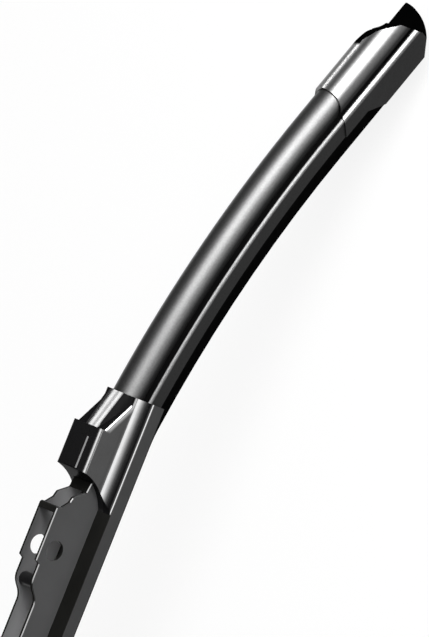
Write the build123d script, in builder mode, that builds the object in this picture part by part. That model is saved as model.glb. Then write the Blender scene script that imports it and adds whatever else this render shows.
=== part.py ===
"""Flat wiper blade: a cast clevis connector, two hoods, two domed spoilers, end caps, rails and rubber.

Millimetres, +Z up and away from the windscreen. The blade runs along X, the origin is the centre
of the pivot pin and the pin runs along Y.
"""
import os
from math import asin, atan2, cos, degrees, hypot, radians, sin, sqrt, tan

from build123d import *

os.makedirs("parts", exist_ok=True)

# Clearances
slide_fit = 0.08        # rails and rubber in their channels
cover_fit = 0.12        # spoiler in the hoods, in the base and in the end caps
press_fit = 0.02        # pivot pin in the clevis walls
wall_fit = 0.2          # hood beside the clevis walls
butt_gap = 0.3          # ends of pieces in their pockets
overrun = 1.0           # cuts run this far past the faces that they open
nearby = 0.01           # slack for picking edges and corners by their place

# Line that the blade bends along, seen from the side
pivot_to_ledge = 8.3    # pin centre down to the ledges of the spoilers
flat_half = 50.7        # centre of the blade to the start of the bend
bend_radius = 55.2
tuck_in = 4.0           # the long bend starts this far inside the hood's mouth
long_radius = 430.0
tip_slope = 22.6        # degrees at the straight tips
lead_in = 7.5           # straight line from the end of the long bend to the cap's reference point
rail_run = 30.0         # rails run this far past the cap's reference point
rubber_run = 31.0

# Spoiler
dome_radius = 5.9
spoiler_half = 9.0
spoiler_skirt = 4.9     # ledge down to the lower edge
spoiler_skin = 1.4
ridge_radius = 1.6
hollow_sides = 8        # sides of the hollows under the domes
claw_reach = 3.0        # claws below the rails
spoiler_run = 4.0       # the spoiler runs this far into the straight tip

# Rails
rail_inner = 1.2
rail_outer = 7.0
rail_depth = 2.95       # ledge down to the top of the rails
rail_thickness = 0.9

# Rubber
head_half = 2.6
head_height = 1.55
neck_half = 1.05
shoulder_half = 3.0
shoulder_height = 1.4
web_half = 0.5
web_height = 1.3
wedge_half = 2.1
lip_half = 0.35
lip_depth = 15.2        # ledge down to the wiping edge

# Connector base
base_half = 11.0
ledge_top = -10.1
base_bottom = -14.3
base_edge = 0.35        # rounding of the base's upper rim
mouth_x = 63.0
rib_height = 1.65       # floor of the clevis above the ledge

# Clevis walls
clevis_half = 4.55
clevis_wall = 1.0
low_top = -0.6
lobe_start = -7.0
lobe_end = 1.2
lobe_top = 3.45
step_x = 6.1
step_run = 0.8
wall_top = 5.0
bridge_start = 21.8
bridge_edge = 24.0
bridge_drop = 1.6
shelf_start = 26.3
shelf_end = 28.2
shelf_top = 1.1
notch_start = 30.8
notch_floor = -4.0
wall_end = 34.0
wall_foot = 25.7
notch_rise = 0.5        # slope of the bridge's lower floor and shelf
bridge_rounding = 0.9
bridge_thickness = 1.3
wall_foot_lip = 0.5
foot_sagitta = 1.4      # bulge of the walls' lower corners
rim_chamfer = 0.25      # broken outer edges along the tops of the walls
left_bridge_edge = -25.0
left_notch_start = -29.5

# Pin and side hole
pin_radius = 2.2
pin_seat = 0.6          # depth of the pin's ends in the walls
side_hole_radius = 3.15
side_hole_x = 11.1
side_hole_z = -0.3

# Hoods
hood_inset = 0.15       # hoods behind the sides of the base
hood_skin = 1.2
facet_half = 7.2
ridge_top = -9.1        # where the flared foot runs out
deck_edge = 1.3         # rounding along the deck
deck_top = 2.7
low_deck_top = -1.7
deck_start = 36.4
deck_end = 50.5
foot_start = 27.2
foot_bulge = 2.0
ledge_drop = 1.7        # side ledges of the ramp below the deck
ramp_foot = -6.7        # side ledges at the mouth
barrel_start = 6.4      # radius of the barrel where it leaves the block
barrel_drop = 0.8       # barrel's crest below the deck where it leaves the block
barrel_mouth = 7.3      # radius of the barrel at the mouth
pad_half = 3.1
pad_end = 46.6
pad_height = 0.35

# End caps, measured along the straight tip
cap_dome = 6.9
cap_half = 9.5
cap_ledge = 0.45
cap_ridge = 2.2
rim_top = 2.3           # rim on the crest, from the cap's reference point
rim_bend = 1.5          # rim halfway down the dome
rim_valley = -1.9       # rim in the valley beside the dome
rim_back = 5.0          # rim at the lower edge, backwards
shallow_skirt = 4.95
deep_skirt = 8.5
step_start = 5.5
step_end = 11.5
slice_start = 20.0      # slice across the tip, on the crest
slice_brow = 27.0
slice_brow_height = 5.4
slice_knee = 33.5
slice_knee_height = 0.3
slice_end_height = -0.7
slice_blend = 9.0
slice_tilt = 0.39       # fall of the slice towards the far side, per millimetre
tongue_start = 34.8     # flat tongue at the tip
tongue_top = -2.9
tongue_tilt = 0.13
tongue_lean = 0.42      # lean of the wall at the tongue's start, per millimetre of height
end_near = 35.0
end_middle = 41.2
end_far = 43.6
undercut_start = 4.4
undercut_back = 4.5
pocket_radius = 4.8
pocket_end = 19.0

# Derived places
bend_end_x = mouth_x - tuck_in
bend_turn = degrees(asin((bend_end_x - flat_half) / bend_radius))
bend_end_z = -pivot_to_ledge - bend_radius * (1 - cos(radians(bend_turn)))
bend_way = (cos(radians(bend_turn)), -sin(radians(bend_turn)))
long_run = long_radius * (sin(radians(tip_slope)) - sin(radians(bend_turn)))
long_drop = long_radius * (cos(radians(bend_turn)) - cos(radians(tip_slope)))
tip_x = bend_end_x + long_run + lead_in * cos(radians(tip_slope))
tip_z = bend_end_z - long_drop - lead_in * sin(radians(tip_slope))
mouth_turn = asin(sin(radians(bend_turn)) + tuck_in / long_radius)
mouth_z = bend_end_z - long_radius * (cos(radians(bend_turn)) - cos(mouth_turn))
hollow_turn = 180 / hollow_sides
rail_bottom = rail_depth + rail_thickness
rail_slot = rail_thickness + 2 * slide_fit
hood_half = base_half - hood_inset
tip_along = Vector(cos(radians(tip_slope)), 0, -sin(radians(tip_slope)))
tip_up = Vector(sin(radians(tip_slope)), 0, cos(radians(tip_slope)))
tip_plane = Plane(origin=(tip_x, 0, tip_z), x_dir=tip_along, z_dir=tip_up)


def whole_line(run):
    """Line of the whole blade, from the left tip to the right tip."""
    start = (-tip_x - run * tip_along.X, tip_z + run * tip_along.Z)
    with BuildLine(Plane.XZ) as line:
        left_tip = PolarLine(start, lead_in + run, angle=tip_slope)
        left_long = JernArc(left_tip @ 1, left_tip % 1, long_radius, bend_turn - tip_slope)
        left_bend = JernArc(left_long @ 1, left_long % 1, bend_radius, -bend_turn)
        middle = Line(left_bend @ 1, (flat_half, -pivot_to_ledge))
        right_bend = JernArc(middle @ 1, middle % 1, bend_radius, -bend_turn)
        right_long = JernArc(right_bend @ 1, right_bend % 1, long_radius, bend_turn - tip_slope)
        PolarLine(right_long @ 1, lead_in + run, angle=-tip_slope)
    return line.wire()


def pocket_line():
    """Line of the pocket for the right spoiler's end, from the start of the long bend to past the mouth."""
    turn = degrees((tuck_in + 2 * overrun) / long_radius)
    with BuildLine(Plane.XZ) as line:
        JernArc((bend_end_x, bend_end_z), bend_way, long_radius, -turn)
    return line.wire()


def spoiler_line():
    """Line of the right spoiler, which starts a gap after its pocket."""
    gap_turn = degrees(butt_gap / long_radius)
    with BuildLine(Plane.XZ) as line:
        gap = JernArc((bend_end_x, bend_end_z), bend_way, long_radius, -gap_turn, mode=Mode.PRIVATE)
        long_part = JernArc(gap @ 1, gap % 1, long_radius, bend_turn + gap_turn - tip_slope)
        PolarLine(long_part @ 1, lead_in + spoiler_run, angle=-tip_slope)
    return line.wire()


def section_plane(line):
    """Plane across the start of a line, with Y to the right and the blade's top upwards."""
    return Plane(origin=line @ 0, x_dir=(0, 1, 0), z_dir=line % 0)


def spoiler_outline(sketch, grow):
    """Outer section of a spoiler, grown by a clearance, in a sketch that is open."""
    Circle(dome_radius + grow)
    Rectangle(4 * dome_radius, 2 * dome_radius, align=(Align.CENTER, Align.MIN), mode=Mode.INTERSECT)
    with Locations((0, grow)):
        Rectangle(2 * (spoiler_half + grow), spoiler_skirt + 2 * grow, align=(Align.CENTER, Align.MAX))
    ridges = sketch.vertices().filter_by_position(Axis.Y, grow - nearby, grow + nearby).sort_by(Axis.X)
    fillet([ridges[0], ridges[-1]], ridge_radius + grow)


def channel_outline(mouth_half, depth):
    """Room for the rails and the rubber's head, open downwards, for the sketch that is open."""
    with Locations((0, slide_fit - rail_depth)):
        Rectangle(2 * (rail_outer + slide_fit), rail_slot, align=(Align.CENTER, Align.MAX))
        Rectangle(2 * (head_half + slide_fit), head_height + 2 * slide_fit, align=(Align.CENTER, Align.MIN))
        Rectangle(2 * mouth_half, depth, align=(Align.CENTER, Align.MAX))


# Spring rails
rail_line = whole_line(rail_run)
rail_middle = (rail_inner + rail_outer) / 2

with BuildPart() as rail_front:
    with BuildSketch(section_plane(rail_line)):
        with Locations((-rail_middle, -rail_depth)):
            Rectangle(rail_outer - rail_inner, rail_thickness, align=(Align.CENTER, Align.MAX))
    sweep(path=rail_line)

with BuildPart() as rail_rear:
    mirror(rail_front.part, about=Plane.XZ)

# Rubber
rubber_line = whole_line(rubber_run)
head_bottom = slide_fit - rail_depth
head_top = head_bottom + head_height
shoulder_top = -rail_bottom - slide_fit
shoulder_bottom = shoulder_top - shoulder_height
web_bottom = shoulder_bottom - web_height

with BuildPart() as wiper_rubber:
    with BuildSketch(section_plane(rubber_line)):
        with BuildLine():
            Polyline(
                (0, head_top),
                (head_half - head_height / 2, head_top),
                (head_half, head_top - head_height / 2),
                (head_half, head_bottom),
                (neck_half, head_bottom),
                (neck_half, shoulder_top),
                (shoulder_half, shoulder_top),
                (shoulder_half, shoulder_bottom),
                (web_half, shoulder_bottom),
                (web_half, web_bottom),
                (wedge_half, web_bottom),
                (wedge_half, web_bottom - web_half),
                (2 * lip_half, (web_bottom - 2 * lip_depth) / 3),
                (lip_half, -lip_depth),
                (0, -lip_depth),
                close=True,
            )
        make_face()
        mirror(about=Plane.YZ)
    sweep(path=rubber_line)

# Spoilers
cover_line = spoiler_line()

with BuildPart() as spoiler_right:
    with BuildSketch(section_plane(cover_line)) as cover:
        spoiler_outline(cover, 0)
        RegularPolygon(dome_radius - spoiler_skin, hollow_sides, rotation=hollow_turn, mode=Mode.SUBTRACT)
        with Locations((0, slide_fit - rail_depth)):
            rail_room = 2 * (rail_outer + slide_fit)
            Rectangle(rail_room, rail_slot, align=(Align.CENTER, Align.MAX), mode=Mode.SUBTRACT)
        with Locations((0, -rail_depth)):
            Rectangle(2 * (rail_outer - claw_reach), 2 * spoiler_skirt, mode=Mode.SUBTRACT)
    sweep(path=cover_line)

with BuildPart() as spoiler_left:
    mirror(spoiler_right.part, about=Plane.YZ)

# Connector base with its clevis
tuck_line = pocket_line()
clevis_floor = ledge_top + rib_height
wall_lip = notch_floor - wall_foot_lip
clevis_inner = clevis_half - clevis_wall

with BuildPart() as connector_base:
    with BuildSketch(Plane.XY.offset(base_bottom)):
        Rectangle(2 * mouth_x, 2 * base_half)
    extrude(amount=ledge_top - base_bottom)
    rim = connector_base.faces().sort_by(Axis.Z)[-1]
    fillet(rim.edges().filter_by(Axis.X), base_edge)
    with BuildSketch(Plane.XY.offset(ledge_top)):
        Rectangle(2 * bend_end_x, 2 * clevis_half)
    extrude(amount=rib_height)
    # Outline of the two walls and of the bridges between them
    with BuildSketch(Plane.XZ) as walls:
        with BuildLine():
            right_foot = SagittaArc((wall_foot, ledge_top), (wall_end, wall_lip), -foot_sagitta)
            right_top = Polyline(
                right_foot @ 1,
                (wall_end, notch_floor),
                (notch_start, notch_floor + notch_rise),
                (shelf_end, shelf_top - notch_rise),
                (shelf_start, shelf_top),
                (bridge_edge, wall_top - bridge_drop),
                (bridge_edge, wall_top),
                (step_x + step_run / 2, wall_top),
                (step_x - step_run / 2, lobe_top),
                (lobe_end, lobe_top),
            )
            lobe = Spline(right_top @ 1, (lobe_start, low_top), tangents=((-1, 0), (-1, 0)))
            left_top = Polyline(
                lobe @ 1,
                (left_bridge_edge, low_top),
                (left_notch_start, notch_floor),
                (-wall_end, notch_floor),
                (-wall_end, wall_lip),
            )
            SagittaArc(left_top @ 1, (-wall_foot, ledge_top), -foot_sagitta)
            Line((-wall_foot, ledge_top), (wall_foot, ledge_top))
        make_face()
        bends = walls.vertices().filter_by_position(Axis.X, bridge_edge - nearby, notch_start + nearby)
        fillet(bends.filter_by_position(Axis.Y, notch_floor, wall_top + overrun), bridge_rounding)
    extrude(amount=clevis_half, both=True)
    # Slot between the walls, open on both sides of the bar and closed over the notches
    with BuildSketch(Plane.XZ):
        with BuildLine():
            Polyline(
                (wall_end + overrun, clevis_floor),
                (wall_end + overrun, notch_floor - bridge_thickness),
                (notch_start, notch_floor - bridge_thickness),
                (notch_start, wall_top + overrun),
                (bridge_edge, wall_top + overrun),
                (bridge_edge, wall_top - bridge_drop),
                (bridge_start, wall_top - bridge_drop),
                (bridge_start, wall_top + overrun),
                (-bridge_start, wall_top + overrun),
                (-bridge_start, low_top - bridge_thickness),
                (left_notch_start, notch_floor - bridge_thickness),
                (-wall_end - overrun, notch_floor - bridge_thickness),
                (-wall_end - overrun, clevis_floor),
                close=True,
            )
        make_face()
    extrude(amount=clevis_inner, both=True, mode=Mode.SUBTRACT)
    # Side hole through both walls, and blind seats for the pin's ends
    with BuildSketch(Plane.XZ):
        with Locations((side_hole_x, side_hole_z)):
            Circle(side_hole_radius)
    extrude(amount=base_half, both=True, mode=Mode.SUBTRACT)
    with BuildSketch(Plane.XZ):
        Circle(pin_radius + press_fit)
    extrude(amount=clevis_inner + pin_seat + press_fit, both=True, mode=Mode.SUBTRACT)
    # Channel for the rails and the rubber, and pockets for the ends of the spoilers
    with BuildSketch(section_plane(rail_line)):
        channel_outline(shoulder_half + wall_fit, lip_depth)
    sweep(path=rail_line, mode=Mode.SUBTRACT)
    with BuildSketch(section_plane(tuck_line)) as pocket_outline:
        spoiler_outline(pocket_outline, cover_fit)
    pocket = sweep(path=tuck_line, mode=Mode.PRIVATE)
    add(pocket, mode=Mode.SUBTRACT)
    mirror(pocket, about=Plane.YZ, mode=Mode.SUBTRACT)
    # Broken outer edges along the tops of the walls
    rims = connector_base.edges().filter_by(Axis.X)
    rims = rims.filter_by_position(Axis.Z, low_top - nearby, wall_top + nearby)
    outer_rims = rims.filter_by(lambda edge: abs(edge.center().Y) > clevis_half - nearby)
    chamfer(outer_rims, rim_chamfer)

with BuildPart() as pivot_pin:
    with BuildSketch(Plane.XZ):
        Circle(pin_radius)
    extrude(amount=clevis_inner + pin_seat, both=True)


def hood_shape(top):
    """Right-hand hood with its deck at a given height."""
    flare = hood_half - facet_half
    ramp_run = mouth_x - deck_end
    ramp_fall = top - ledge_drop - ramp_foot
    # Crest of the barrel, and the lean of its axis that gives it the two radii
    crest = Vector(deck_end, top - barrel_drop)
    crest_way = Vector(mouth_x, mouth_z + barrel_mouth) - crest
    widening = asin((barrel_mouth - barrel_start) / crest_way.length)
    lean = atan2(-crest_way.Y, crest_way.X) + widening
    axis_way = Vector(cos(lean), -sin(lean))
    inward = Vector(-sin(lean), -cos(lean))
    axis_start = crest + inward * barrel_start
    barrel_axis = Axis((axis_start.X, 0, axis_start.Y), (axis_way.X, 0, axis_way.Y))
    axis_run = crest_way.length * cos(widening) + barrel_mouth

    def barrel_section(skin):
        """Half section of the barrel inside a skin, for the sketch that is open."""
        start = axis_start - axis_way * 2 * skin
        end = axis_start + axis_way * axis_run
        start_rim = start - inward * (barrel_start - skin)
        end_rim = end - inward * (barrel_start - skin + axis_run * tan(widening))
        Polygon(start, start_rim, end_rim, end, align=None)

    with BuildPart() as hood:
        # Flared foot from end to end
        with BuildSketch(Plane.YZ.offset(foot_start)):
            with BuildLine():
                Polyline((0, ledge_top), (hood_half, ledge_top), (hood_half, ridge_top))
                CenterArc((hood_half, ridge_top + flare), flare, 270, -90)
                Polyline((facet_half, ridge_top + flare), (0, ridge_top + flare), (0, ledge_top))
            make_face()
            mirror(about=Plane.YZ)
        extrude(amount=mouth_x - foot_start)
        # Block under the deck
        with BuildSketch(Plane.YZ.offset(foot_start)) as block:
            with Locations((0, top)):
                Rectangle(2 * facet_half, top - ledge_top, align=(Align.CENTER, Align.MAX))
            fillet(block.vertices().group_by(Axis.Y)[-1], deck_edge)
        extrude(amount=deck_end - foot_start)
        # Ramp with rounded side ledges
        ramp_plane = Plane((deck_end, 0, top - ledge_drop), x_dir=(0, 1, 0), z_dir=(ramp_run, 0, -ramp_fall))
        ramp_depth = top - ledge_drop - ledge_top
        with BuildSketch(ramp_plane) as ramp:
            Rectangle(2 * facet_half, ramp_depth, align=(Align.CENTER, Align.MAX))
            fillet(ramp.vertices().group_by(Axis.Y)[-1], deck_edge)
        extrude(amount=hypot(ramp_run, ramp_fall) + ramp_depth)
        # Barrel that widens into the mouth
        with BuildSketch(Plane.XZ):
            barrel_section(0)
        revolve(axis=barrel_axis)
        # Raised pad on the deck
        with BuildSketch(Plane.YZ.offset(deck_start + pad_height)):
            with Locations((0, top)):
                Trapezoid(2 * pad_half, pad_height, 45, align=(Align.CENTER, Align.MIN))
        extrude(amount=pad_end - deck_start)
        # Rooms inside: under the deck, in the barrel and around the spoiler
        room_start = deck_start + hood_skin
        room_width = 2 * (facet_half - hood_skin)
        with BuildSketch(Plane.YZ.offset(room_start)):
            with Locations((0, top - hood_skin)):
                Rectangle(room_width, top - ledge_top, align=(Align.CENTER, Align.MAX))
        extrude(amount=deck_end - hood_skin - room_start, mode=Mode.SUBTRACT)
        with BuildSketch(Plane.XZ):
            barrel_section(hood_skin)
        revolve(axis=barrel_axis, mode=Mode.SUBTRACT)
        with BuildSketch(Plane.YZ.offset(room_start)):
            with Locations((0, ramp_foot - hood_skin)):
                Rectangle(room_width, ramp_foot - ledge_top, align=(Align.CENTER, Align.MAX))
        extrude(amount=mouth_x - room_start, mode=Mode.SUBTRACT)
        with BuildSketch(section_plane(tuck_line)) as pocket_outline:
            spoiler_outline(pocket_outline, cover_fit)
        sweep(path=tuck_line, mode=Mode.SUBTRACT)
        # Slots over the clevis walls and, from end to end, over the rib
        slot_width = 2 * (clevis_half + wall_fit)
        with BuildSketch(Plane.YZ.offset(foot_start)):
            with Locations((0, notch_floor + wall_fit)):
                Rectangle(slot_width, notch_floor - ledge_top + overrun, align=(Align.CENTER, Align.MAX))
        extrude(amount=room_start + hood_skin - foot_start, mode=Mode.SUBTRACT)
        with BuildSketch(Plane.YZ.offset(foot_start)):
            with Locations((0, clevis_floor + wall_fit)):
                Rectangle(slot_width, rib_height + overrun, align=(Align.CENTER, Align.MAX))
        extrude(amount=mouth_x - foot_start, mode=Mode.SUBTRACT)
        # Curved end towards the clevis, the flat foot and the flat mouth
        with BuildSketch(Plane.XZ):
            with BuildLine():
                foot = SagittaArc((foot_start, ledge_top), (deck_start, deck_top), -foot_bulge)
                Polyline(
                    foot @ 1,
                    (deck_start, deck_top + overrun),
                    (foot_start - overrun, deck_top + overrun),
                    (foot_start - overrun, ledge_top),
                    foot @ 0,
                )
            make_face()
            with Locations((mouth_x / 2, ledge_top)):
                Rectangle(2 * mouth_x, 3 * barrel_mouth, align=(Align.CENTER, Align.MAX))
            with Locations((mouth_x, 0)):
                Rectangle(2 * axis_run, 6 * barrel_mouth, align=(Align.MIN, Align.CENTER))
        extrude(amount=base_half, both=True, mode=Mode.SUBTRACT)
    return hood.part


with BuildPart() as hood_right:
    add(hood_shape(deck_top))

with BuildPart() as hood_left:
    mirror(hood_shape(low_deck_top), about=Plane.YZ)


def tip_section(along):
    """Plane across the straight right tip, a distance along it."""
    return Plane(origin=tip_plane.from_local_coords((along, 0, 0)), x_dir=(0, 1, 0), z_dir=tip_along)


# End caps
side_plane = Plane(origin=tip_plane.origin, x_dir=tip_along, z_dir=(0, -1, 0))
near_y = cap_half + overrun
near_plane = side_plane.offset(near_y)
end_slant = (end_far - end_near) / (2 * cap_half)
along_end = Vector(0, 1, 0) + tip_along * end_slant
along_slice = Vector(0, 1, 0) - tip_up * slice_tilt
along_tongue = Vector(0, 1, 0) - tip_up * tongue_tilt
slice_crest = cap_dome * sqrt(1 + slice_tilt**2)
slice_lift = slice_tilt * near_y
tongue_near = tongue_top + tongue_tilt * near_y
above_cap = 2 * cap_dome + slice_lift
cap_start = -rim_back - overrun

with BuildPart() as end_cap_right:
    with BuildSketch(tip_section(cap_start)) as cap_outline:
        Circle(cap_dome)
        Rectangle(4 * cap_dome, 2 * cap_dome, align=(Align.CENTER, Align.MIN), mode=Mode.INTERSECT)
        with Locations((0, cap_ledge)):
            Rectangle(2 * cap_half, cap_ledge + deep_skirt, align=(Align.CENTER, Align.MAX))
        corners = cap_outline.vertices().filter_by_position(Axis.Y, cap_ledge - nearby, cap_ledge + nearby)
        corners = corners.sort_by(Axis.X)
        fillet([corners[0], corners[-1]], cap_ridge)
    extrude(amount=end_far + overrun - cap_start)
    # Swept-back rim and stepped skirt, seen from the side
    with BuildSketch(side_plane):
        with BuildLine():
            rim = ThreePointArc((rim_top, cap_dome), (rim_bend, cap_dome / 2), (rim_valley, 0))
            Polyline(
                rim @ 1,
                (-rim_back, -shallow_skirt),
                (step_start, -shallow_skirt),
                (step_end, -deep_skirt),
                (step_end, -deep_skirt - overrun),
                (cap_start - overrun, -deep_skirt - overrun),
                (cap_start - overrun, cap_dome + overrun),
                (rim_top, cap_dome + overrun),
                rim @ 0,
            )
        make_face()
    extrude(amount=near_y, both=True, mode=Mode.SUBTRACT)
    # Slice that falls towards the tip and towards the far side
    with BuildSketch(near_plane) as slice_cut:
        with BuildLine():
            Polyline(
                (slice_start, slice_crest + slice_lift),
                (slice_brow, slice_brow_height + slice_lift),
                (slice_knee, slice_knee_height + slice_lift),
                (end_far + 2 * overrun, slice_end_height + slice_lift),
                (end_far + 2 * overrun, above_cap),
                (slice_start, above_cap),
                close=True,
            )
        make_face()
        bends = slice_cut.vertices().filter_by_position(Axis.X, slice_brow - nearby, slice_knee + nearby)
        fillet(bends, slice_blend)
    extrude(amount=2 * near_y * along_slice.length, dir=along_slice, mode=Mode.SUBTRACT)
    # Flat tongue in front of the slice
    with BuildSketch(near_plane):
        with BuildLine():
            Polyline(
                (tongue_start, tongue_near),
                (end_far + 2 * overrun, tongue_near),
                (end_far + 2 * overrun, above_cap),
                (tongue_start - tongue_lean * (above_cap - tongue_near), above_cap),
                close=True,
            )
        make_face()
    extrude(amount=2 * near_y * along_tongue.length, dir=along_tongue, mode=Mode.SUBTRACT)
    # Bowed and slanted end, undercut towards the bottom
    with BuildSketch(tip_plane):
        with BuildLine():
            end = ThreePointArc((end_near, -cap_half), (end_middle, 0), (end_far, cap_half))
            Polyline(
                end @ 1,
                (end_far, near_y),
                (2 * end_far, near_y),
                (2 * end_far, -near_y),
                (end_near, -near_y),
                end @ 0,
            )
        make_face()
    extrude(amount=2 * cap_dome, both=True, mode=Mode.SUBTRACT)
    with BuildSketch(near_plane):
        with BuildLine():
            Polyline(
                (end_near - end_slant, -undercut_start),
                (end_near - end_slant - undercut_back, -deep_skirt),
                (end_near - end_slant - undercut_back, -deep_skirt - overrun),
                (2 * end_far, -deep_skirt - overrun),
                (2 * end_far, -undercut_start),
                close=True,
            )
        make_face()
    extrude(amount=2 * near_y * along_end.length, dir=along_end, mode=Mode.SUBTRACT)
    # Rooms for the spoiler, the rails, the rubber, and a hollow under the dome
    with BuildSketch(tip_section(cap_start)) as spoiler_room:
        spoiler_outline(spoiler_room, cover_fit)
    extrude(amount=spoiler_run + butt_gap - cap_start, mode=Mode.SUBTRACT)
    with BuildSketch(tip_section(0)):
        channel_outline(shoulder_half + wall_fit, lip_depth)
    extrude(amount=rubber_run + butt_gap, mode=Mode.SUBTRACT)
    with BuildSketch(tip_section(0)):
        RegularPolygon(pocket_radius, hollow_sides, rotation=hollow_turn)
        Rectangle(4 * pocket_radius, 2 * pocket_radius, align=(Align.CENTER, Align.MIN), mode=Mode.INTERSECT)
    extrude(amount=pocket_end, mode=Mode.SUBTRACT)

with BuildPart() as end_cap_left:
    mirror(end_cap_right.part, about=Plane.YZ)

# Labels and files
rail_front.part.label = "rail_front"
rail_rear.part.label = "rail_rear"
wiper_rubber.part.label = "wiper_rubber"
spoiler_right.part.label = "spoiler_right"
spoiler_left.part.label = "spoiler_left"
connector_base.part.label = "connector_base"
pivot_pin.part.label = "pivot_pin"
hood_right.part.label = "hood_right"
hood_left.part.label = "hood_left"
end_cap_right.part.label = "end_cap_right"
end_cap_left.part.label = "end_cap_left"

export_step(rail_front.part, "parts/rail_front.step")
export_step(rail_rear.part, "parts/rail_rear.step")
export_step(wiper_rubber.part, "parts/wiper_rubber.step")
export_step(spoiler_right.part, "parts/spoiler_right.step")
export_step(spoiler_left.part, "parts/spoiler_left.step")
export_step(connector_base.part, "parts/connector_base.step")
export_step(pivot_pin.part, "parts/pivot_pin.step")
export_step(hood_right.part, "parts/hood_right.step")
export_step(hood_left.part, "parts/hood_left.step")
export_step(end_cap_right.part, "parts/end_cap_right.step")
export_step(end_cap_left.part, "parts/end_cap_left.step")
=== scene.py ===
"""Flat wiper blade: finishes for every piece, a pale floor, soft studio light and the camera.

Metres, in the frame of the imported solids: X along the blade, Y along the pivot pin,
Z away from the windscreen.
"""
from math import cos, radians, sin

import bpy
from mathutils import Matrix, Vector


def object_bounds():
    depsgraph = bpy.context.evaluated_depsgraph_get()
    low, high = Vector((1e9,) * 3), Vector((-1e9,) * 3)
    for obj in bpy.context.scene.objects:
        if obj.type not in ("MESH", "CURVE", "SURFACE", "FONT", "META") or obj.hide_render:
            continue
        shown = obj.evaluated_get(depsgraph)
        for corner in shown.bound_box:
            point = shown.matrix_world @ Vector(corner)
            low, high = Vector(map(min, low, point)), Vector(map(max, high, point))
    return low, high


bl_info = {
    "name": "Flat Wiper Blade",
    "version": (1, 0, 0),
    "blender": (4, 5, 0),
    "location": "View3D > Sidebar > Wiper Blade",
    "description": "Finishes and studio for a flat wiper blade with a clevis connector",
    "category": "Object",
}

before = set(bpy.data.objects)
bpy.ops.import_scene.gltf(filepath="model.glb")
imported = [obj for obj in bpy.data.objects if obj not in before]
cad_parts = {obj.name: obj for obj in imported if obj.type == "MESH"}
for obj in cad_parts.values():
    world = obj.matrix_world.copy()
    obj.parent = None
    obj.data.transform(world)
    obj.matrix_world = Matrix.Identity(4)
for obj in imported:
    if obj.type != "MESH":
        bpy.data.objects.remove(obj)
cad_low, cad_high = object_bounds()

# Solids that share a finish
HOODS = ("hood_right", "hood_left")
SPOILERS = ("spoiler_right", "spoiler_left")
CAPS = ("end_cap_right", "end_cap_left")
RAILS = ("rail_front", "rail_rear")

# Directions: to the right tip and back, to the far and the near side, away from the windscreen and back
TIPWARDS, INWARDS = Vector((1, 0, 0)), Vector((-1, 0, 0))
FAR, NEAR = Vector((0, 1, 0)), Vector((0, -1, 0))
UP, DOWN = Vector((0, 0, 1)), Vector((0, 0, -1))

# Part of a noise's range that is used
NOISE_LOW, NOISE_HIGH = 0.3, 0.7

# In what follows, places are pairs in metres from the pin and cosines are pairs for how squarely a
# surface faces a direction; a mask goes from none at the first to all at the second. Shades are
# shares of a colour. A gloss is a weight of the coat, and a coat is its index and its roughness.
SKIN_SHADES = (0.85, 1.2)
PLASTIC_ROUGHNESS = (0.3, 0.4)

# Bracket; its colours hold painted light and shade: black level faces, walls lighter lower down, a
# light slot between the walls and darker base sides
WALL_DEPTHS = (-0.004, 0.008)
BASE_SIDES = (0.0103, 0.0105)
CLEVIS_GAP = (0.0039, 0.0041)
WALL_ENDS = (0.027, 0.031)
LEVEL_COSINES = (0.3, 0.7)
INNER_COSINES = (0.9, 0.95)
EDGE_COSINES = (0.96, 0.99)
# Painted light: shares of height and of random cloud in the walls' grey, which is painted lighter
# towards the bottom
PAINTED_LIGHT_AND_CLOUD_SHARES = (0.7, 0.3)
WALL_PAINTED_LIGHT_SHADES = (0.84, 1.14)
# Painted light: the lighter grey between the walls, darker at the top and lighter at the bottom
SLOT_PAINTED_LIGHT_SHADES = (0.48, 1.6)
# Painted shade: the base's sides as shares of the wall grey
SIDE_PAINTED_SHADES = (0.67, 0.73)
RIM_GLOSS = 0.35
RIM_GLOSS_BY_WALLS = 0.02
BRACKET_COAT = (3.8, 0.3)

# Hoods; the ramp's near edge runs along the right hood only, and DOWN_RAMP is square to it
HOOD_FOOT = (0.00725, 0.00735)
FOOT_RIM = (0.0088, 0.009)
FOOT_LINE = (0.0096, 0.00975)
DOWN_RAMP = Vector((-0.5245, 0, -0.8515))
RAMP_EDGE = (-0.0272, -0.0269)
RAMP_BAND = (-0.0264, -0.0253)
RAMP_START = (-0.052, -0.05)
PAD_SIDES = (0.0042, 0.0043)
FLAT_COSINES = (0.94, 0.99)
RIM_COSINES = (0.9, 0.97)
FOOT_COSINES = (0.45, 0.8)
END_COSINES = (0.3, 0.5)
SLOPE_START = (0.05, 0.1)
SLOPE_END = (0.28, 0.33)
FAR_FLANK_COSINES = (0.26, 0.42)
NEAR_FLANK_COSINES = (0.36, 0.5)
LEDGE_COSINES = (0.4, 0.46)
BEHIND_SLOPE = (0.04, 0.08)
BEHIND_COSINES = (0.1, 0.3)
PAD_COSINES = (0.6, 0.7)
FACET_GLOSS = 0.155
FOOT_RIM_GLOSS = 0.05
DECK_GLOSS = 0.12
FOOT_TOP_GLOSS = 0.2
END_GLOSS = 0.1
FLANK_GLOSS = 0.004
LEDGE_GLOSS = 0.03
PAD_GLOSS = 0.35
HOOD_COAT = (6.4, 0.25)

# Spoilers and end caps
DOME_LEDGES = (0.0054, 0.0056)
DOME_LEDGE_COSINES = (0.8, 0.88)
SKIRT_COSINES = (0.9, 0.98)
UNDERSIDE_COSINES = (0.3, 0.6)
SPOILER_SKIRT_GLOSS = 0.15
SPOILER_COAT = (2.7, 0.44)
CAP_SKIRT_GLOSS = 0.12
CAP_COAT = (3.15, 0.32)

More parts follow.
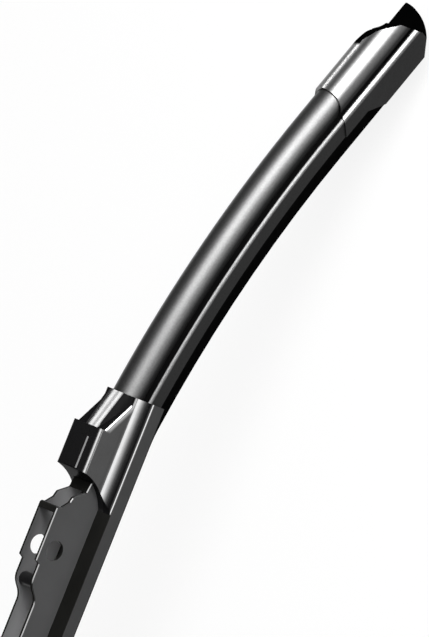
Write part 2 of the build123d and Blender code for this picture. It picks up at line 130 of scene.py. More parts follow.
# Slices of the end caps: slope of the straight tips, where the slice starts along them, and the parts
# of its direction towards the tip, the far side and the crest
TIP_SLOPE = radians(22.6)
SLICE_START = (0.1885, 0.1895)
SLICE_FACES = (0.33, 0.33, 0.88)
SLICE_COSINES = (0.8, 0.88)
TONGUE_COSINES = (0.5, 0.6)
# Painted shade: the slices and tongues, dark only from how light falls on them, get a darker copy of
# the cap's colour
SLICE_PAINTED_SHADES = (0.2, 0.3)

# Rubber
RUBBER_SHADES = (0.8, 1.4)
RUBBER_SHEEN = 0.01

# Lights: parts of the softbox's length between which it brightens and fades, and parts of a far
# strip's width, from its middle and from its lower side, between which it brightens
BOX_BRIGHTENS = (0.485, 0.72)
BOX_FADES = (0.75, 0.95)
STRIP_MIDDLE = (0.07, 0.25)
STRIP_LOW_SIDE = (0.2, 0.8)

# Floor: greys that it gives to light and to the eye, and the share of its own white in the picture
FLOOR_GREY = (0.5, 0.5, 0.5)
FLOOR_PALE = (0.95, 0.95, 0.95)
FLOOR_WHITE_SHARE = 0.86

# Room in reflections: strength above the horizon, and the sines of the heights where it falls to that
SKY_LEVEL = 0.04
HORIZON = (0.0, 0.1)

# Camera
SENSOR_WIDTH = 36
CLIP_START, CLIP_END = 0.01, 100


# Properties


class BladeFinishes(bpy.types.PropertyGroup):
    """Colours and grain of the pieces."""

    # Painted shade: the black of the bracket's level faces, a shaded copy of the coat on its upright
    # faces
    level_painted_shade_colour: bpy.props.FloatVectorProperty(
        name="Bracket",
        description="Coat of the connector base and its clevis walls",
        subtype="COLOR",
        size=3,
        min=0,
        max=1,
        default=(0.0112, 0.0112, 0.0104),
    )
    # The upright faces' grey is the lit copy of the coat whose shaded copy is the level faces' black
    wall_colour: bpy.props.FloatVectorProperty(
        name="Walls",
        description="Coat on the upright faces of the connector base",
        subtype="COLOR",
        size=3,
        min=0,
        max=1,
        default=(0.082, 0.082, 0.083),
    )
    # Painted light: a lighter grey for the faces between the clevis walls, where the slot is in shade
    slot_painted_light_colour: bpy.props.FloatVectorProperty(
        name="Between the walls",
        description="Bare faces between the clevis walls",
        subtype="COLOR",
        size=3,
        min=0,
        max=1,
        default=(0.21, 0.21, 0.213),
    )
    pin_colour: bpy.props.FloatVectorProperty(
        name="Pin",
        description="Blackened steel of the pivot pin",
        subtype="COLOR",
        size=3,
        min=0,
        max=1,
        default=(0.008, 0.008, 0.0085),
    )
    hood_colour: bpy.props.FloatVectorProperty(
        name="Hoods",
        description="Moulded plastic of the hoods",
        subtype="COLOR",
        size=3,
        min=0,
        max=1,
        default=(0.0055, 0.0055, 0.0058),
    )
    spoiler_colour: bpy.props.FloatVectorProperty(
        name="Spoilers",
        description="Extruded plastic of the spoilers",
        subtype="COLOR",
        size=3,
        min=0,
        max=1,
        default=(0.0035, 0.0035, 0.0036),
    )
    cap_colour: bpy.props.FloatVectorProperty(
        name="End caps",
        description="Moulded plastic of the end caps",
        subtype="COLOR",
        size=3,
        min=0,
        max=1,
        default=(0.0035, 0.0035, 0.0036),
    )
    rubber_colour: bpy.props.FloatVectorProperty(
        name="Rubber",
        description="Wiping rubber",
        subtype="COLOR",
        size=3,
        min=0,
        max=1,
        default=(0.0013, 0.0013, 0.0013),
    )
    rail_colour: bpy.props.FloatVectorProperty(
        name="Rails",
        description="Bright spring steel of the rails",
        subtype="COLOR",
        size=3,
        min=0,
        max=1,
        default=(0.42, 0.42, 0.43),
    )
    grain: bpy.props.FloatProperty(
        name="Grain",
        description="Size of the fine grain on moulded plastic",
        subtype="DISTANCE",
        unit="LENGTH",
        min=0.0001,
        default=0.0006,
    )


class BladeStage(bpy.types.PropertyGroup):
    """Camera, light and floor."""

    elevation: bpy.props.FloatProperty(
        name="Elevation",
        description="Height of the camera above the horizon",
        subtype="ANGLE",
        unit="ROTATION",
        default=radians(40),
    )
    view_height: bpy.props.FloatProperty(
        name="View height",
        description="Height of the picture at the blade",
        subtype="DISTANCE",
        unit="LENGTH",
        min=0.01,
        default=0.193,
    )
    focal_length: bpy.props.FloatProperty(
        name="Lens",
        description="Focal length of the camera in millimetres",
        min=50,
        default=1000,
    )
    roll: bpy.props.FloatVectorProperty(
        name="Blade in the picture",
        description="Direction of the blade in the picture, to the right and upwards",
        size=2,
        default=(0.371, 0.928),
    )
    target: bpy.props.FloatVectorProperty(
        name="Target",
        description="Point at the middle of the picture",
        subtype="TRANSLATION",
        unit="LENGTH",
        size=3,
        default=(0.0941, 0.0, -0.0286),
    )
    box_elevation: bpy.props.FloatProperty(
        name="Softbox elevation",
        description="Height of the softbox above the horizon, on the camera's side",
        subtype="ANGLE",
        unit="ROTATION",
        default=radians(53),
    )
    box_distance: bpy.props.FloatProperty(
        name="Softbox distance",
        description="Distance of the softbox from the blade",
        subtype="DISTANCE",
        unit="LENGTH",
        min=0.1,
        default=1.1,
    )
    box_length: bpy.props.FloatProperty(
        name="Softbox length",
        description="Length of the softbox along the blade",
        subtype="DISTANCE",
        unit="LENGTH",
        min=0.1,
        default=2.0,
    )
    box_width: bpy.props.FloatProperty(
        name="Softbox width",
        description="Width of the softbox across the blade",
        subtype="DISTANCE",
        unit="LENGTH",
        min=0.1,
        default=1.6,
    )
    box_shift: bpy.props.FloatProperty(
        name="Softbox shift",
        description="Middle of the softbox past the middle of the picture, towards the tip",
        subtype="DISTANCE",
        unit="LENGTH",
        default=0.4,
    )
    box_power: bpy.props.FloatProperty(
        name="Softbox power",
        description="Power of the softbox in watts",
        min=0,
        default=18.5,
    )
    rim_elevation: bpy.props.FloatProperty(
        name="Rim light elevation",
        description="Height of the rim light above the horizon, on the far side",
        subtype="ANGLE",
        unit="ROTATION",
        default=radians(30),
    )
    rim_length: bpy.props.FloatProperty(
        name="Rim light length",
        description="Length of the rim light along the blade",
        subtype="DISTANCE",
        unit="LENGTH",
        min=0.01,
        default=0.42,
    )
    rim_width: bpy.props.FloatProperty(
        name="Rim light width",
        description="Height of the rim light's face",
        subtype="DISTANCE",
        unit="LENGTH",
        min=0.01,
        default=0.15,
    )
    rim_shift: bpy.props.FloatProperty(
        name="Rim light shift",
        description="Middle of the rim light past the middle of the picture, towards the tip",
        subtype="DISTANCE",
        unit="LENGTH",
        default=0.8,
    )
    rim_power: bpy.props.FloatProperty(
        name="Rim light power",
        description="Power of the rim light in watts",
        min=0,
        default=3.8,
    )
    strip_elevation: bpy.props.FloatProperty(
        name="Short strip elevation",
        description="Height of the short strip light above the horizon, on the far side",
        subtype="ANGLE",
        unit="ROTATION",
        default=radians(69),
    )
    strip_length: bpy.props.FloatProperty(
        name="Short strip length",
        description="Length of the short strip light along the blade",
        subtype="DISTANCE",
        unit="LENGTH",
        min=0.01,
        default=0.26,
    )
    strip_width: bpy.props.FloatProperty(
        name="Short strip width",
        description="Height of the short strip light's face",
        subtype="DISTANCE",
        unit="LENGTH",
        min=0.01,
        default=1.6,
    )
    strip_shift: bpy.props.FloatProperty(
        name="Short strip shift",
        description="Middle of the short strip light past the middle of the picture, towards the tip",
        subtype="DISTANCE",
        unit="LENGTH",
        default=0.5,
    )
    strip_power: bpy.props.FloatProperty(
        name="Short strip power",
        description="Power of the short strip light in watts",
        min=0,
        default=7.0,
    )
    strip_middle: bpy.props.FloatProperty(
        name="Short strip middle",
        description="Brightness along the middle of the short strip light against that of its sides",
        min=0,
        max=1,
        default=0.25,
    )
    strip_low: bpy.props.FloatProperty(
        name="Short strip low side",
        description="Brightness of the short strip light's low side against that of its high side",
        min=0,
        max=1,
        default=0.5,
    )
    tip_share: bpy.props.FloatProperty(
        name="Softbox at the tip",
        description="Brightness of the softbox over the tip against that over the connector",
        min=0,
        default=11.5,
    )
    room_level: bpy.props.FloatProperty(
        name="Room light",
        description="Strength of the even light of the room",
        min=0,
        default=0.2,
    )
    floor_size: bpy.props.FloatProperty(
        name="Floor",
        description="Length of the floor's sides",
        subtype="DISTANCE",
        unit="LENGTH",
        default=10.0,
    )


# Nodes of the finishes


def new_finish(name, colour):
    """Empty finish with a principled shader, and that shader's tree and node."""
    finish = bpy.data.materials.new(name)
    finish.use_nodes = True
    tree = finish.node_tree
    shader = tree.nodes["Principled BSDF"]
    shader.inputs["Base Color"].default_value = (*colour, 1)
    return finish, tree, shader


def feed(tree, value, socket):
    """Links a socket's value to another socket, or sets it to a number."""
    if isinstance(value, bpy.types.NodeSocket):
        tree.links.new(value, socket)
    else:
        socket.default_value = value


def noise(tree, size, detail=2.0, stretch=(1, 1, 1)):
    """Noise of a grain size in metres, drawn out along an axis by a stretch."""
    place = tree.nodes.new("ShaderNodeTexCoord")
    mapping = tree.nodes.new("ShaderNodeMapping")
    mapping.inputs["Scale"].default_value = [1 / (size * s) for s in stretch]
    tree.links.new(place.outputs["Object"], mapping.inputs["Vector"])
    texture = tree.nodes.new("ShaderNodeTexNoise")
    texture.inputs["Scale"].default_value = 1
    texture.inputs["Detail"].default_value = detail
    tree.links.new(mapping.outputs["Vector"], texture.inputs["Vector"])
    return texture.outputs["Fac"]


def between(tree, share, low, high, start=NOISE_LOW, end=NOISE_HIGH):
    """Value that goes from low to high as a share goes from start to end."""
    spread = tree.nodes.new("ShaderNodeMapRange")
    spread.inputs["From Min"].default_value = start
    spread.inputs["From Max"].default_value = end
    spread.inputs["To Min"].default_value = low
    spread.inputs["To Max"].default_value = high
    tree.links.new(share, spread.inputs["Value"])
    return spread.outputs["Result"]


def tint(tree, share, dark, light):
    """Colour between two colours by a share."""
    mix = tree.nodes.new("ShaderNodeMix")
    mix.data_type = "RGBA"
    mix.inputs["A"].default_value = (*dark, 1)
    mix.inputs["B"].default_value = (*light, 1)
    tree.links.new(share, mix.inputs["Factor"])
    return mix.outputs["Result"]


def shades(tree, share, colour, ends):
    """Colour between two shades of a colour, as shares of it."""
    dark, light = (tuple(channel * end for channel in colour) for end in ends)
    return tint(tree, share, dark, light)


def blend(tree, share, first, second):
    """Colour between the colours of two sockets by a share."""
    mix = tree.nodes.new("ShaderNodeMix")
    mix.data_type = "RGBA"
    tree.links.new(first, mix.inputs["A"])
    tree.links.new(second, mix.inputs["B"])
    tree.links.new(share, mix.inputs["Factor"])
    return mix.outputs["Result"]


def mixed(tree, share, first, second):
    """Value between two values, which are sockets or numbers, by a share."""
    mix = tree.nodes.new("ShaderNodeMix")
    feed(tree, first, mix.inputs["A"])
    feed(tree, second, mix.inputs["B"])
    tree.links.new(share, mix.inputs["Factor"])
    return mix.outputs["Result"]


def combine(tree, operation, first, second=0):
    """Result of an operation on two values, which are sockets or numbers."""
    node = tree.nodes.new("ShaderNodeMath")
    node.operation = operation
    feed(tree, first, node.inputs[0])
    feed(tree, second, node.inputs[1])
    return node.outputs["Value"]


def product(tree, first, second):
    """Product of two values."""
    return combine(tree, "MULTIPLY", first, second)


def larger(tree, first, second):
    """Larger of two values."""
    return combine(tree, "MAXIMUM", first, second)


def less(tree, first, second):
    """First value less the second."""
    return combine(tree, "SUBTRACT", first, second)


def relief(tree, shader, height, depth):
    """Fine relief of a depth in metres on the shader, over any relief that it has."""
    bump = tree.nodes.new("ShaderNodeBump")
    bump.inputs["Strength"].default_value = 1
    bump.inputs["Distance"].default_value = depth
    tree.links.new(height, bump.inputs["Height"])
    normal = shader.inputs["Normal"]
    if normal.is_linked:
        tree.links.new(normal.links[0].from_socket, bump.inputs["Normal"])
    tree.links.new(bump.outputs["Normal"], normal)


def dot(tree, vector, direction):
    """Length of a socket's vector along a direction."""
    node = tree.nodes.new("ShaderNodeVectorMath")
    node.operation = "DOT_PRODUCT"
    node.inputs[1].default_value = direction
    tree.links.new(vector, node.inputs[0])
    return node.outputs["Value"]


def facing(tree, direction, cosines):
    """Share of how squarely the surface faces a direction, from none to all between two cosines."""
    place = tree.nodes.new("ShaderNodeTexCoord")
    cosine = dot(tree, place.outputs["Normal"], Vector(direction).normalized())
    return between(tree, cosine, 0, 1, *cosines)


def beside(tree, cosines):
    """Share of how squarely the surface faces one of the blade's two sides."""
    return larger(tree, facing(tree, NEAR, cosines), facing(tree, FAR, cosines))


def along(tree, direction, places):
    """Share of the way between two places, in metres along a direction from the pin."""
    place = tree.nodes.new("ShaderNodeTexCoord")
    return between(tree, dot(tree, place.outputs["Object"], direction), 0, 1, *places)


def off_middle(tree, places, direction=FAR):
    """Share of the way between two places, in metres to either side of the pin."""
    one = along(tree, direction, places)
    other = along(tree, [-part for part in direction], places)
    return larger(tree, one, other)


def dulled(tree, gloss, share, level):
    """Gloss brought down to a level by a share."""
    return product(tree, gloss, between(tree, share, 1, level, 0, 1))


def lift(tree, shader, share):
    """Turns the shading of upright faces upwards by a share, as a rolled foot does."""
    place = tree.nodes.new("ShaderNodeNewGeometry")
    split = tree.nodes.new("ShaderNodeSeparateXYZ")
    tree.links.new(place.outputs["Normal"], split.inputs["Vector"])
    rise = less(tree, 1, split.outputs["Z"])
    upwards = tree.nodes.new("ShaderNodeCombineXYZ")
    tree.links.new(product(tree, rise, share), upwards.inputs["Z"])
    total = tree.nodes.new("ShaderNodeVectorMath")
    tree.links.new(place.outputs["Normal"], total.inputs[0])
    tree.links.new(upwards.outputs["Vector"], total.inputs[1])
    turned = tree.nodes.new("ShaderNodeVectorMath")
    turned.operation = "NORMALIZE"
    tree.links.new(total.outputs["Vector"], turned.inputs[0])
    bump = shader.inputs["Normal"].links[0].from_node
    tree.links.new(turned.outputs["Vector"], bump.inputs["Normal"])


def lacquer(tree, shader, gloss, coat):
    """Gloss of a surface, which comes from its outermost skin: a coat's index and roughness."""
    index, roughness = coat
    shader.inputs["Specular IOR Level"].default_value = 0
    shader.inputs["Coat IOR"].default_value = index
    shader.inputs["Coat Roughness"].default_value = roughness
    tree.links.new(gloss, shader.inputs["Coat Weight"])
    tree.links.new(shader.inputs["Normal"].links[0].from_socket, shader.inputs["Coat Normal"])


# Finishes


def coated_bracket(looks):
    """Satin coat on cast metal, with painted light and shade: grey walls, black level faces, a lighter
    grey between the walls, edges rubbed bright.
    """
    finish, tree, shader = new_finish("coated_bracket", looks.level_painted_shade_colour)
    cloud = between(tree, noise(tree, 0.012, 3), 0, 1)
    # Painted light: the walls and the faces between them grow lighter towards the bottom, against the
    # shade there
    depth = along(tree, DOWN, WALL_DEPTHS)
    by_depth, by_cloud = PAINTED_LIGHT_AND_CLOUD_SHARES
    painted_light_and_cloud = combine(tree, "ADD", product(tree, depth, by_depth), product(tree, cloud, by_cloud))
    # Painted shade: faces that face up take the black
    level = shades(tree, cloud, looks.level_painted_shade_colour, SKIN_SHADES)
    walls = shades(tree, painted_light_and_cloud, looks.wall_colour, WALL_PAINTED_LIGHT_SHADES)
    slot_painted_light = shades(tree, depth, looks.slot_painted_light_colour, SLOT_PAINTED_LIGHT_SHADES)
    # Painted shade: the base's sides take a darker copy of the wall grey
    sides = shades(tree, cloud, looks.wall_colour, SIDE_PAINTED_SHADES)

    rim = off_middle(tree, BASE_SIDES)
    colour = blend(tree, rim, walls, sides)
    colour = blend(tree, facing(tree, UP, LEVEL_COSINES), colour, level)
    # Painted light: faces between the clevis walls take the lighter grey
    inside = less(tree, 1, off_middle(tree, CLEVIS_GAP))
    inside = product(tree, beside(tree, INNER_COSINES), inside)
    tree.links.new(blend(tree, inside, colour, slot_painted_light), shader.inputs["Base Color"])
    rough = between(tree, noise(tree, 0.004, 4), 0.4, 0.5)
    tree.links.new(rough, shader.inputs["Roughness"])
    relief(tree, shader, noise(tree, 0.0012), 0.000004)

    edges = larger(tree, facing(tree, NEAR + UP, EDGE_COSINES), facing(tree, FAR + UP, EDGE_COSINES))
    by_walls = less(tree, rim, off_middle(tree, WALL_ENDS, TIPWARDS))
    edges = dulled(tree, edges, rim, RIM_GLOSS)
    edges = dulled(tree, edges, by_walls, RIM_GLOSS_BY_WALLS)
    lacquer(tree, shader, edges, BRACKET_COAT)
    return finish


def blackened_pin(looks):
    """Blackened steel with turning marks across the pin."""
    finish, tree, shader = new_finish("blackened_pin", looks.pin_colour)
    turning = (4, 0.4, 4)
    rough = between(tree, noise(tree, 0.0005, 3, turning), 0.28, 0.45)
    tree.links.new(rough, shader.inputs["Roughness"])
    relief(tree, shader, noise(tree, 0.0004, 2, turning), 0.000006)
    return finish


def moulded_skin(looks, tree, shader):
    """Fine grain and uneven roughness of moulded plastic, and the share of its flow lines."""
    rough = between(tree, noise(tree, looks.grain * 4, 4), *PLASTIC_ROUGHNESS)
    tree.links.new(rough, shader.inputs["Roughness"])
    relief(tree, shader, noise(tree, looks.grain), 0.000003)
    return between(tree, noise(tree, 0.01, 3, (3, 1, 1)), 0, 1)


def hood_gloss(tree, foot):
    """Gloss that is full on the hoods' rounded shoulders and lower on their other faces."""
    gloss = between(tree, noise(tree, 0.003, 3), 0.92, 1)

    # Facets, apart from a soft band below the ramp's near edge
    facets = product(tree, beside(tree, FLAT_COSINES), less(tree, 1, foot))
    off_band = larger(tree, along(tree, DOWN_RAMP, RAMP_BAND), along(tree, INWARDS, RAMP_START))
    gloss = dulled(tree, gloss, product(tree, facets, off_band), FACET_GLOSS)

    # Upright rim of the foot, apart from a thin line along its lower edge
    upright_rim = product(tree, along(tree, DOWN, FOOT_RIM), beside(tree, RIM_COSINES))
    gloss = dulled(tree, gloss, less(tree, upright_rim, along(tree, DOWN, FOOT_LINE)), FOOT_RIM_GLOSS)

    # Deck, top of the foot and the face towards the connector
    gloss = dulled(tree, gloss, facing(tree, UP, FLAT_COSINES), DECK_GLOSS)
    gloss = dulled(tree, gloss, product(tree, foot, facing(tree, UP, FOOT_COSINES)), FOOT_TOP_GLOSS)
    gloss = dulled(tree, gloss, facing(tree, INWARDS, END_COSINES), END_GLOSS)

    # Flanks of the barrel, the ramp's ledges and the slopes behind them
    sloping = less(tree, facing(tree, TIPWARDS, SLOPE_START), facing(tree, TIPWARDS, SLOPE_END))
    far_flank = facing(tree, FAR, FAR_FLANK_COSINES)
    near_flank = less(tree, facing(tree, NEAR, NEAR_FLANK_COSINES), along(tree, DOWN_RAMP, RAMP_EDGE))
    for flank in (far_flank, near_flank):
        gloss = dulled(tree, gloss, product(tree, sloping, flank), FLANK_GLOSS)
    gloss = dulled(tree, gloss, facing(tree, TIPWARDS, LEDGE_COSINES), LEDGE_GLOSS)
    behind = product(
        tree, facing(tree, TIPWARDS, BEHIND_SLOPE), facing(tree, FAR, BEHIND_COSINES)
    )
    gloss = dulled(tree, gloss, behind, LEDGE_GLOSS)

    # Sides of the pad on the deck
    pad = less(tree, 1, off_middle(tree, PAD_SIDES))
    return dulled(tree, gloss, product(tree, pad, beside(tree, PAD_COSINES)), PAD_GLOSS)


def moulded_hood(looks):
    """Moulded plastic, bright on its rounded shoulders and duller on its flat faces."""
    finish, tree, shader = new_finish("moulded_hood", looks.hood_colour)
    flow = moulded_skin(looks, tree, shader)
    skin = shades(tree, flow, looks.hood_colour, SKIN_SHADES)
    tree.links.new(skin, shader.inputs["Base Color"])
    foot = off_middle(tree, HOOD_FOOT)
    gloss = hood_gloss(tree, foot)
    lift(tree, shader, foot)
    lacquer(tree, shader, gloss, HOOD_COAT)
    return finish


def dome_gloss(tree, looks, skirts):
    """Gloss that is full on domes and ridges, given for skirts and undersides, and none on ledges."""
    streaks = between(tree, noise(tree, 0.003, 3, (8, 1, 1)), 0.94, 1)
    gloss = product(tree, streaks, between(tree, noise(tree, looks.grain), 0.84, 1))
    gloss = dulled(tree, gloss, beside(tree, SKIRT_COSINES), skirts)
    gloss = dulled(tree, gloss, facing(tree, DOWN, UNDERSIDE_COSINES), skirts)
    ledges = product(tree, facing(tree, UP, DOME_LEDGE_COSINES), off_middle(tree, DOME_LEDGES))
    return dulled(tree, gloss, ledges, 0)


def slice_share(tree):
    """Share that is all on the slices and tongues across the tips and none on the rest of the caps."""
    place = tree.nodes.new("ShaderNodeTexCoord")
    split = tree.nodes.new("ShaderNodeSeparateXYZ")
    tree.links.new(place.outputs["Object"], split.inputs["Vector"])
    side = tree.nodes.new("ShaderNodeCombineXYZ")
    tree.links.new(combine(tree, "SIGN", split.outputs["X"]), side.inputs["X"])
    side.inputs["Y"].default_value = 1
    side.inputs["Z"].default_value = 1
    tip_way = Vector((cos(TIP_SLOPE), 0, -sin(TIP_SLOPE)))
    tip_up = Vector((sin(TIP_SLOPE), 0, cos(TIP_SLOPE)))
    to_tip, to_far, to_crest = SLICE_FACES
    slice_way = (to_tip * tip_way + to_far * FAR + to_crest * tip_up).normalized()
    shares = []
    for socket, way, ends in (
        ("Normal", slice_way, SLICE_COSINES),
        ("Normal", tip_way, TONGUE_COSINES),
        ("Object", tip_way, SLICE_START),
    ):
        mirrored = tree.nodes.new("ShaderNodeVectorMath")
        mirrored.operation = "MULTIPLY"
        tree.links.new(place.outputs[socket], mirrored.inputs[0])
        tree.links.new(side.outputs["Vector"], mirrored.inputs[1])
        shares.append(between(tree, dot(tree, mirrored.outputs["Vector"], way), 0, 1, *ends))
    sliced, tongue, tip = shares
    return product(tree, larger(tree, sliced, tongue), tip)


def moulded_cap(looks):
    """Moulded plastic with a bright dome and a matte slice across the tip, the slice painted dark as
    shade.
    """
    finish, tree, shader = new_finish("moulded_cap", looks.cap_colour)
    flow = moulded_skin(looks, tree, shader)
    sliced = slice_share(tree)
    skin = shades(tree, flow, looks.cap_colour, SKIN_SHADES)
    # Painted shade: the slices take the darker copy of the cap's colour
    painted_shade_cut = shades(tree, flow, looks.cap_colour, SLICE_PAINTED_SHADES)
    tree.links.new(blend(tree, sliced, skin, painted_shade_cut), shader.inputs["Base Color"])
    gloss = dulled(tree, dome_gloss(tree, looks, CAP_SKIRT_GLOSS), sliced, 0)
    lacquer(tree, shader, gloss, CAP_COAT)
    return finish


def extruded_plastic(looks):
    """Extruded plastic with faint lines along the blade."""
    finish, tree, shader = new_finish("extruded_spoiler", looks.spoiler_colour)
    lines = noise(tree, 0.0012, 3, (60, 1, 1))
    skin = shades(tree, between(tree, lines, 0, 1), looks.spoiler_colour, SKIN_SHADES)
    tree.links.new(skin, shader.inputs["Base Color"])
    rough = between(tree, noise(tree, 0.003, 4, (8, 1, 1)), *PLASTIC_ROUGHNESS)
    tree.links.new(rough, shader.inputs["Roughness"])
    relief(tree, shader, lines, 0.000002)
    relief(tree, shader, noise(tree, looks.grain), 0.000008)
    lacquer(tree, shader, dome_gloss(tree, looks, SPOILER_SKIRT_GLOSS), SPOILER_COAT)
    return finish


def soft_rubber(looks):
    """Matte rubber with a fine bloom."""
    finish, tree, shader = new_finish("soft_rubber", looks.rubber_colour)
    shader.inputs["Specular IOR Level"].default_value = RUBBER_SHEEN
    bloom = between(tree, noise(tree, 0.004, 4, (5, 1, 1)), 0, 1)
    skin = shades(tree, bloom, looks.rubber_colour, RUBBER_SHADES)
    tree.links.new(skin, shader.inputs["Base Color"])
    rough = between(tree, noise(tree, 0.0015, 3), 0.62, 0.8)
    tree.links.new(rough, shader.inputs["Roughness"])
    relief(tree, shader, noise(tree, 0.0004), 0.000008)
    return finish


def rolled_steel(looks):
    """Bright rolled steel with lines along the strip."""
    finish, tree, shader = new_finish("rolled_steel", looks.rail_colour)
    shader.inputs["Metallic"].default_value = 1
    lines = noise(tree, 0.0003, 3, (120, 1, 1))
    tree.links.new(between(tree, lines, 0.25, 0.45), shader.inputs["Roughness"])
    relief(tree, shader, lines, 0.000003)
    return finish


def dress(names, finish):
    """Gives a finish to the solids of these names."""
    for name in names:
        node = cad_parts.get(name)
        if node is None:
            raise RuntimeError(f"The packed model has no solid named {name}")
        node.data.materials.clear()
        node.data.materials.append(finish)


# Operators


class BLADE_OT_connector(bpy.types.Operator):
    """Coats the connector base and blackens the pivot pin"""

    bl_idname = "blade.connector"
    bl_label = "Connector"

    def execute(self, context):
        looks = context.scene.blade_finishes
        dress(["connector_base"], coated_bracket(looks))
        dress(["pivot_pin"], blackened_pin(looks))
        return {"FINISHED"}


class BLADE_OT_hoods(bpy.types.Operator):
    """Gives the two hoods their moulded plastic"""

    bl_idname = "blade.hoods"
    bl_label = "Hoods"

    def execute(self, context):
        looks = context.scene.blade_finishes
        dress(HOODS, moulded_hood(looks))
        return {"FINISHED"}


class BLADE_OT_spoilers(bpy.types.Operator):
    """Gives the two spoilers their extruded plastic"""

    bl_idname = "blade.spoilers"
    bl_label = "Spoilers"

    def execute(self, context):
        dress(SPOILERS, extruded_plastic(context.scene.blade_finishes))
        return {"FINISHED"}


class BLADE_OT_end_caps(bpy.types.Operator):
    """Gives the two end caps their moulded plastic"""

    bl_idname = "blade.end_caps"
    bl_label = "End caps"

    def execute(self, context):
        looks = context.scene.blade_finishes
        dress(CAPS, moulded_cap(looks))
        return {"FINISHED"}


class BLADE_OT_rubber(bpy.types.Operator):
    """Gives the wiping rubber its matte finish"""

    bl_idname = "blade.rubber"
    bl_label = "Rubber"

    def execute(self, context):
        dress(["wiper_rubber"], soft_rubber(context.scene.blade_finishes))
        return {"FINISHED"}


class BLADE_OT_rails(bpy.types.Operator):
    """Gives the spring rails their rolled steel"""

    bl_idname = "blade.rails"
    bl_label = "Spring rails"

    def execute(self, context):
        dress(RAILS, rolled_steel(context.scene.blade_finishes))
        return {"FINISHED"}


def area_light(name, length, width, power):
    """Rectangular light."""
    light = bpy.data.lights.new(name, "AREA")
    light.shape = "RECTANGLE"
    light.size = length
    light.size_y = width
    light.energy = power
    return light


def face_of(light):
    """Node tree of a light, and the place on its face as a split vector."""
    light.use_nodes = True
    tree = light.node_tree
    place = tree.nodes.new("ShaderNodeNewGeometry")
    split = tree.nodes.new("ShaderNodeSeparateXYZ")
    tree.links.new(place.outputs["Parametric"], split.inputs["Vector"])
    return tree, split


def from_middle(tree, part):
    """Distance of a part of a light's length or width from the middle."""
    return combine(tree, "ABSOLUTE", less(tree, part, 0.5))


def hang(light, stage, side, elevation, shift):
    """Hangs a light on one side of the blade, facing it and shifted towards the tip."""
    lamp = bpy.data.objects.new(light.name, light)
    bpy.context.scene.collection.objects.link(lamp)
    away = side * cos(elevation) + UP * sin(elevation)
    lengthways = UP.cross(side)
    middle = Vector(stage.target) + away * stage.box_distance + TIPWARDS * shift
    turn = Matrix((lengthways, away.cross(lengthways), away)).transposed().to_4x4()
    lamp.matrix_world = Matrix.Translation(middle) @ turn
    lamp.visible_camera = False
    return lamp


def softbox(stage):
    """Long soft light on the camera's side, brighter towards the tip and fading at its edges."""
    light = area_light("softbox", stage.box_length, stage.box_width, stage.box_power)
    tree, split = face_of(light)
    across = between(tree, from_middle(tree, split.outputs["Y"]), 1, 0, 0, 0.5)
    lengthwise = between(tree, split.outputs["X"], 1, stage.tip_share, *BOX_BRIGHTENS)
    end = between(tree, split.outputs["X"], 1, 0, *BOX_FADES)
    level = product(tree, across, product(tree, lengthwise, end))
    tree.links.new(level, tree.nodes["Emission"].inputs["Strength"])
    hang(light, stage, NEAR, stage.box_elevation, stage.box_shift)


def far_strip(stage, light, elevation, shift, lit):
    """Hangs a strip of light behind the blade, for a line along the crests of what it lights."""
    strip = hang(light, stage, FAR, elevation, shift)
    strip.light_linking.receiver_collection = bpy.data.collections.new(f"lit_by_{light.name}")
    for piece in lit:
        strip.light_linking.receiver_collection.objects.link(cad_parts[piece])


def rim_light(stage):
    """Even strip that draws a line along the end caps."""
    light = area_light("rim_light", stage.rim_length, stage.rim_width, stage.rim_power)
    far_strip(stage, light, stage.rim_elevation, stage.rim_shift, CAPS)


def short_strip(stage):
    """Strip that is dimmer along its middle and on its low side, for a double line along the hoods."""
    light = area_light("short_strip", stage.strip_length, stage.strip_width, stage.strip_power)
    tree, split = face_of(light)
    across = split.outputs["Y"]
    middle = between(tree, from_middle(tree, across), stage.strip_middle, 1, *STRIP_MIDDLE)
    low_side = between(tree, across, stage.strip_low, 1, *STRIP_LOW_SIDE)
    level = product(tree, middle, low_side)
    tree.links.new(level, tree.nodes["Emission"].inputs["Strength"])
    far_strip(stage, light, stage.strip_elevation, stage.strip_shift, HOODS)


def mirrored_rays(tree, rays):
    """Share of rays that are reflected or pass through glass."""
    return larger(tree, rays.outputs["Is Glossy Ray"], rays.outputs["Is Transmission Ray"])


def pale_floor(stage):
    """Floor under the blade that is white to the eye and keeps a soft shadow."""
    bpy.ops.object.select_all(action="DESELECT")
    bpy.ops.mesh.primitive_plane_add(size=stage.floor_size, location=(0, 0, cad_low.z))
    floor = bpy.context.object
    floor.name = "floor"
    finish = bpy.data.materials.new("pale_floor")
    finish.use_nodes = True
    tree = finish.node_tree
    tree.nodes.clear()
    output = tree.nodes.new("ShaderNodeOutputMaterial")
    mix = tree.nodes.new("ShaderNodeMixShader")
    matte = tree.nodes.new("ShaderNodeBsdfDiffuse")
    glow = tree.nodes.new("ShaderNodeEmission")
    rays = tree.nodes.new("ShaderNodeLightPath")
    seen = rays.outputs["Is Camera Ray"]
    tree.links.new(tint(tree, seen, FLOOR_GREY, FLOOR_PALE), matte.inputs["Color"])
    share = larger(tree, mirrored_rays(tree, rays), product(tree, seen, FLOOR_WHITE_SHARE))
    tree.links.new(share, mix.inputs["Fac"])
    tree.links.new(matte.outputs["BSDF"], mix.inputs[1])
    tree.links.new(glow.outputs["Emission"], mix.inputs[2])
    tree.links.new(mix.outputs["Shader"], output.inputs["Surface"])
    floor.data.materials.append(finish)


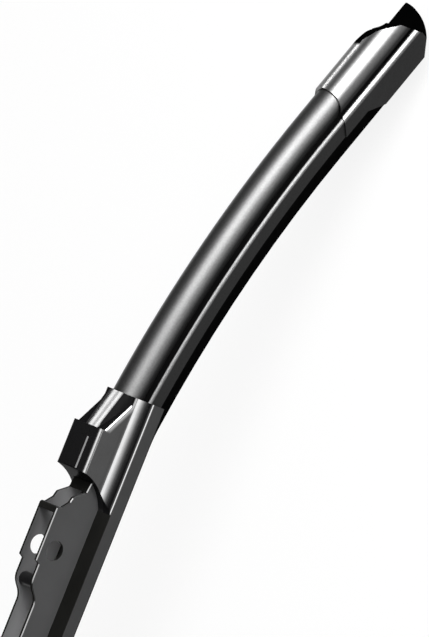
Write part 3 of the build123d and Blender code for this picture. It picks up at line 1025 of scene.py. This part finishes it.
def room(stage):
    """Room that is white to the eye, pale near the horizon in reflections and dim above."""
    world = bpy.data.worlds.new("room")
    bpy.context.scene.world = world
    world.use_nodes = True
    tree = world.node_tree
    tree.nodes.clear()
    output = tree.nodes.new("ShaderNodeOutputWorld")
    place = tree.nodes.new("ShaderNodeTexCoord")
    split = tree.nodes.new("ShaderNodeSeparateXYZ")
    tree.links.new(place.outputs["Generated"], split.inputs["Vector"])
    rays = tree.nodes.new("ShaderNodeLightPath")
    horizon = between(tree, split.outputs["Z"], 1, SKY_LEVEL, *HORIZON)
    level = mixed(tree, mirrored_rays(tree, rays), stage.room_level, horizon)
    shown = mixed(tree, rays.outputs["Is Camera Ray"], level, 1)
    background = tree.nodes.new("ShaderNodeBackground")
    tree.links.new(shown, background.inputs["Strength"])
    tree.links.new(background.outputs["Background"], output.inputs["Surface"])


def camera(stage):
    """Camera at the viewing angle, with the blade slanting across the picture."""
    lens = bpy.data.cameras.new("camera")
    lens.lens = stage.focal_length
    lens.sensor_width = SENSOR_WIDTH
    lens.clip_start = CLIP_START
    lens.clip_end = CLIP_END
    distance = stage.view_height * lens.lens / lens.sensor_width
    eye = bpy.data.objects.new("camera", lens)
    bpy.context.scene.collection.objects.link(eye)
    back = NEAR * cos(stage.elevation) + UP * sin(stage.elevation)
    over = FAR * sin(stage.elevation) + UP * cos(stage.elevation)
    right = TIPWARDS * stage.roll[0] - over * stage.roll[1]
    up = TIPWARDS * stage.roll[1] + over * stage.roll[0]
    turn = Matrix((right.normalized(), up.normalized(), back)).transposed().to_4x4()
    eye.matrix_world = Matrix.Translation(Vector(stage.target) + back * distance) @ turn
    bpy.context.scene.camera = eye


class BLADE_OT_stage(bpy.types.Operator):
    """Sets up the floor, the room, the lights and the camera"""

    bl_idname = "blade.stage"
    bl_label = "Stage"

    def execute(self, context):
        stage = context.scene.blade_stage
        context.scene.view_settings.view_transform = "Standard"
        pale_floor(stage)
        room(stage)
        softbox(stage)
        rim_light(stage)
        short_strip(stage)
        camera(stage)
        return {"FINISHED"}


class BLADE_PT_panel(bpy.types.Panel):
    """Sidebar panel with the blade's pieces, finishes and stage"""

    bl_idname = "BLADE_PT_panel"
    bl_label = "Flat wiper blade"
    bl_space_type = "VIEW_3D"
    bl_region_type = "UI"
    bl_category = "Wiper Blade"

    def draw(self, context):
        layout = self.layout
        for group in (context.scene.blade_finishes, context.scene.blade_stage):
            for name in group.__annotations__:
                layout.prop(group, name)
        for operator in OPERATORS:
            layout.operator(operator.bl_idname)


GROUPS = (BladeFinishes, BladeStage)
OPERATORS = (
    BLADE_OT_connector,
    BLADE_OT_hoods,
    BLADE_OT_spoilers,
    BLADE_OT_end_caps,
    BLADE_OT_rubber,
    BLADE_OT_rails,
    BLADE_OT_stage,
)
CLASSES = (*GROUPS, *OPERATORS, BLADE_PT_panel)


def register():
    """Registers the classes and puts the properties on the scene."""
    for kind in CLASSES:
        bpy.utils.register_class(kind)
    bpy.types.Scene.blade_finishes = bpy.props.PointerProperty(type=BladeFinishes)
    bpy.types.Scene.blade_stage = bpy.props.PointerProperty(type=BladeStage)


def unregister():
    """Takes the properties off the scene and the classes out of Blender."""
    del bpy.types.Scene.blade_stage
    del bpy.types.Scene.blade_finishes
    for kind in reversed(CLASSES):
        bpy.utils.unregister_class(kind)


def main():
    """Registers the classes, dresses every piece and sets the stage."""
    register()
    bpy.ops.blade.connector()
    bpy.ops.blade.hoods()
    bpy.ops.blade.spoilers()
    bpy.ops.blade.end_caps()
    bpy.ops.blade.rubber()
    bpy.ops.blade.rails()
    bpy.ops.blade.stage()


if __name__ == "__main__":
    main()
